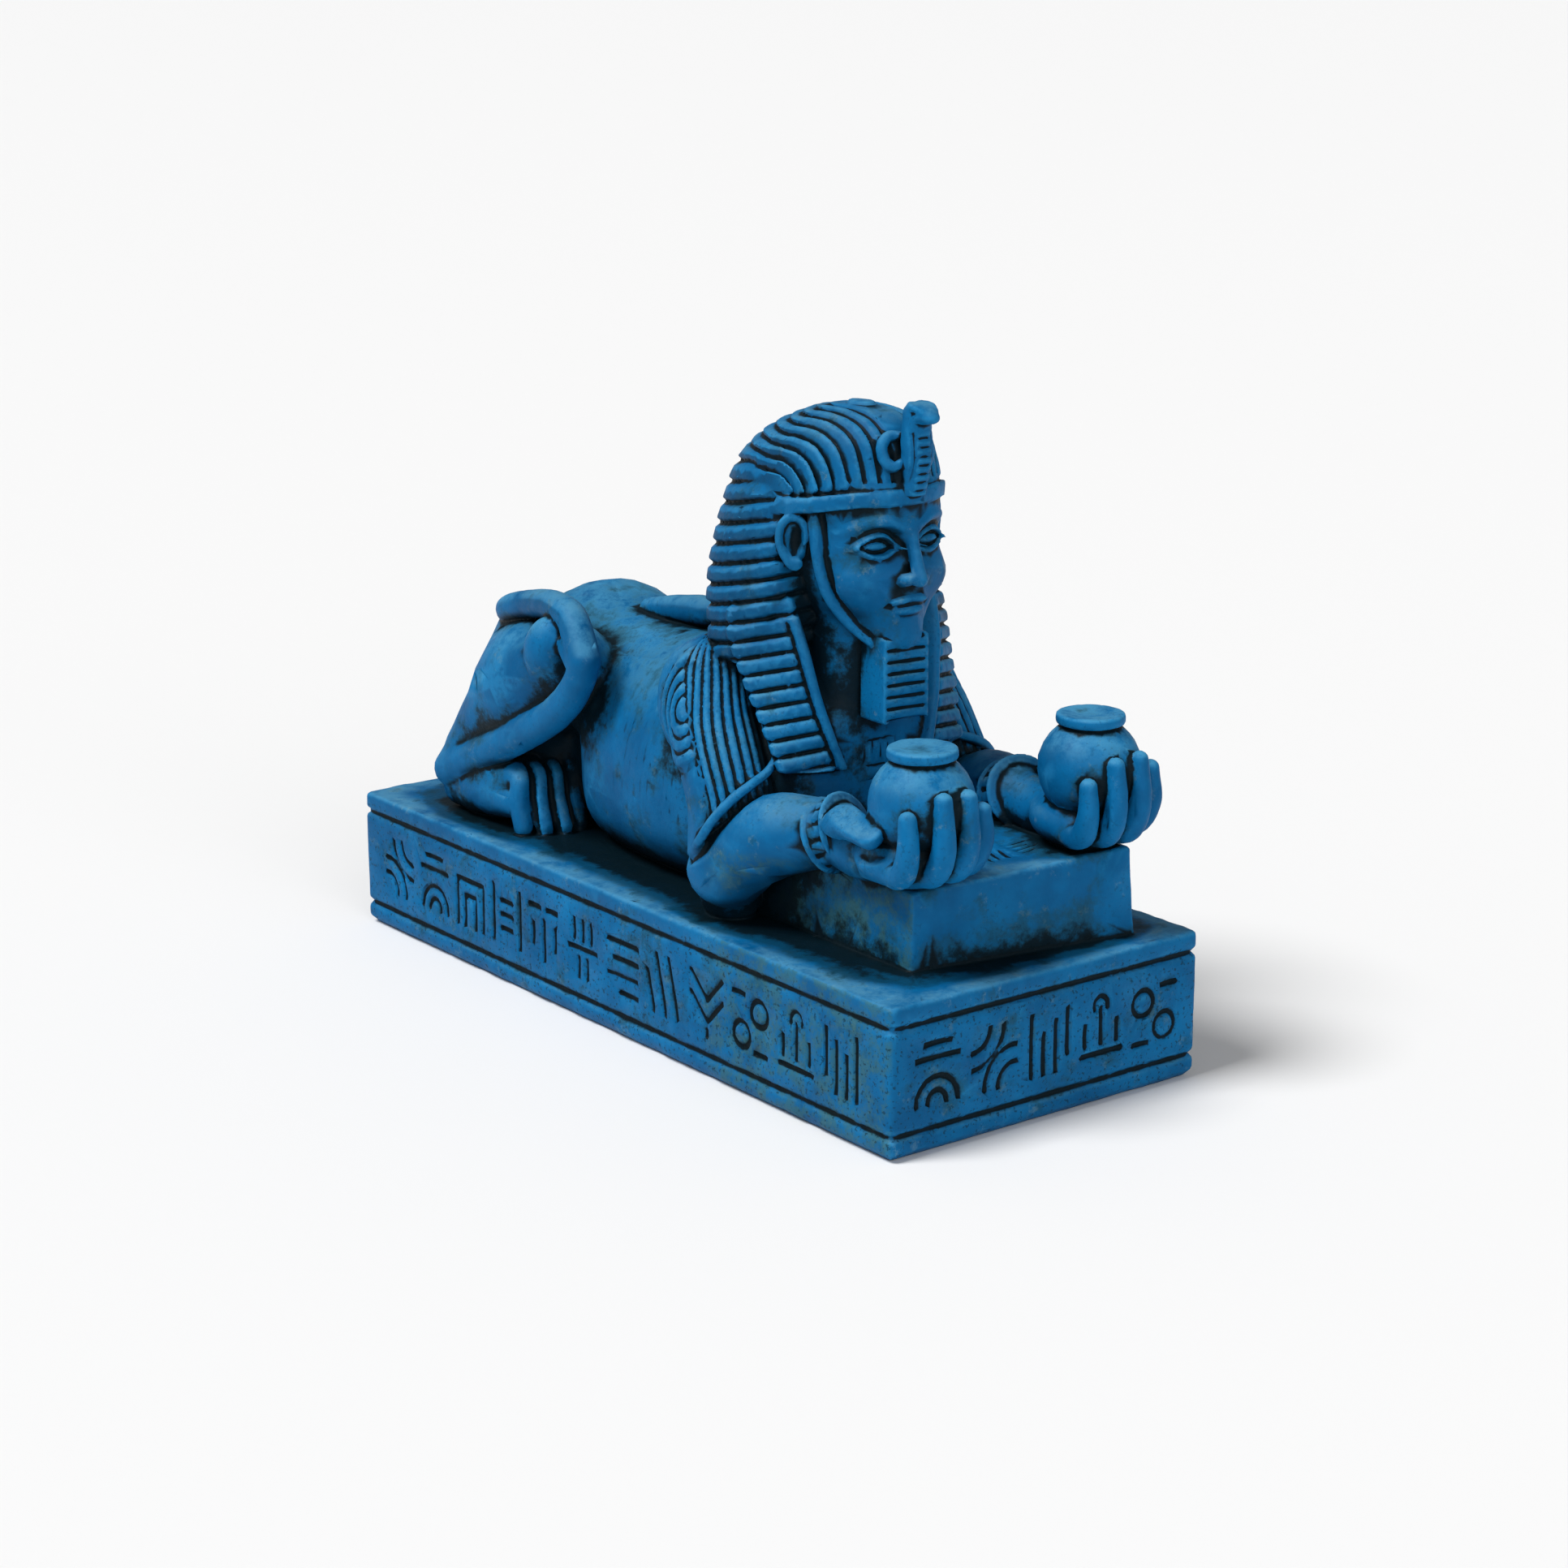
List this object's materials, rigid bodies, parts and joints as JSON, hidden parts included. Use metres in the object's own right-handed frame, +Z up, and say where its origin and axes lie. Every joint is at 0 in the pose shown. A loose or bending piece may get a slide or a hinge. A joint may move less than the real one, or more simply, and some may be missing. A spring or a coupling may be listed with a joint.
{
  "type": "sphinx statue",
  "caption": "Reclining sphinx figure on a carved rectangular plinth, its human arms holding out lidded jars; stands on its flat underside.",
  "frame": {"origin": "middle of the plinth's flat underside", "axes": "+Z up; the sphinx faces -Y; +X is towards its own left side"},
  "size_m": [0.0752, 0.18, 0.1287],
  "materials": {
    "blue_cast_stone": "satin blue cast stone with a near-black wash in the hollows, greyish wear on raised parts and small pits"
  },
  "bodies": {
    "root": {"sphinx_statue": "blue_cast_stone"}
  },
  "joints": []
}
